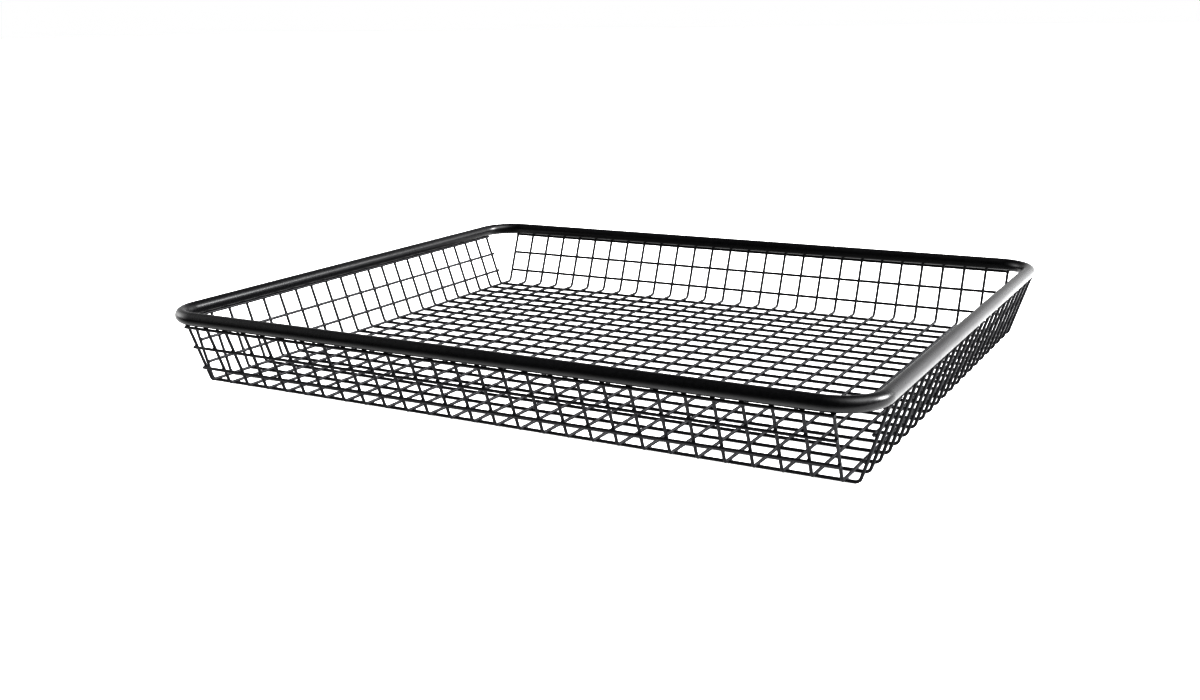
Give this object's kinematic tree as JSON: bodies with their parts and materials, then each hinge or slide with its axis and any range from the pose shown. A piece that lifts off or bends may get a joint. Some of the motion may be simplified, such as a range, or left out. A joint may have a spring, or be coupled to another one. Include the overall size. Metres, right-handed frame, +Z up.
{
  "type": "wire drawer tray",
  "caption": "Shallow rectangular wire mesh tray with leaning walls and a round tubular rim with rounded corners, satin black.",
  "frame": {"origin": "on the ground under the middle of the rim: the centre of the bounding box's bottom face, where the lowest floor wires rest", "axes": "+X along the long front side, left to right seen from the front; +Y from the front to the back; +Z up"},
  "size_m": [0.554, 0.47, 0.0603],
  "materials": {
    "rim_coat": "satin black powder coat on steel tube",
    "wire_coat": "satin black powder coat on steel wire"
  },
  "bodies": {
    "root": {"rim_tube": "rim_coat", "rim_seam_weld": "rim_coat", "cross_wire_01": "wire_coat", "cross_wire_02": "wire_coat", "cross_wire_03": "wire_coat", "cross_wire_04": "wire_coat", "cross_wire_05": "wire_coat", "cross_wire_06": "wire_coat", "cross_wire_07": "wire_coat", "cross_wire_08": "wire_coat", "cross_wire_09": "wire_coat", "cross_wire_10": "wire_coat", "cross_wire_11": "wire_coat", "cross_wire_12": "wire_coat", "cross_wire_13": "wire_coat", "cross_wire_14": "wire_coat", "cross_wire_15": "wire_coat", "cross_wire_16": "wire_coat", "cross_wire_17": "wire_coat", "cross_wire_18": "wire_coat", "cross_wire_19": "wire_coat", "cross_wire_20": "wire_coat", "cross_wire_21": "wire_coat", "cross_wire_22": "wire_coat", "cross_wire_23": "wire_coat", "cross_wire_24": "wire_coat", "cross_wire_25": "wire_coat", "cross_wire_26": "wire_coat", "cross_wire_27": "wire_coat", "cross_wire_28": "wire_coat", "long_wire_01": "wire_coat", "long_wire_02": "wire_coat", "long_wire_03": "wire_coat", "long_wire_04": "wire_coat", "long_wire_05": "wire_coat", "long_wire_06": "wire_coat", "long_wire_07": "wire_coat", "long_wire_08": "wire_coat", "long_wire_09": "wire_coat", "long_wire_10": "wire_coat", "long_wire_11": "wire_coat", "long_wire_12": "wire_coat", "long_wire_13": "wire_coat", "long_wire_14": "wire_coat", "long_wire_15": "wire_coat", "long_wire_16": "wire_coat", "long_wire_17": "wire_coat", "long_wire_18": "wire_coat", "long_wire_19": "wire_coat", "long_wire_20": "wire_coat", "long_wire_21": "wire_coat", "long_wire_22": "wire_coat", "front_rails": "wire_coat", "back_rails": "wire_coat", "left_rails": "wire_coat", "right_rails": "wire_coat"}
  },
  "joints": []
}
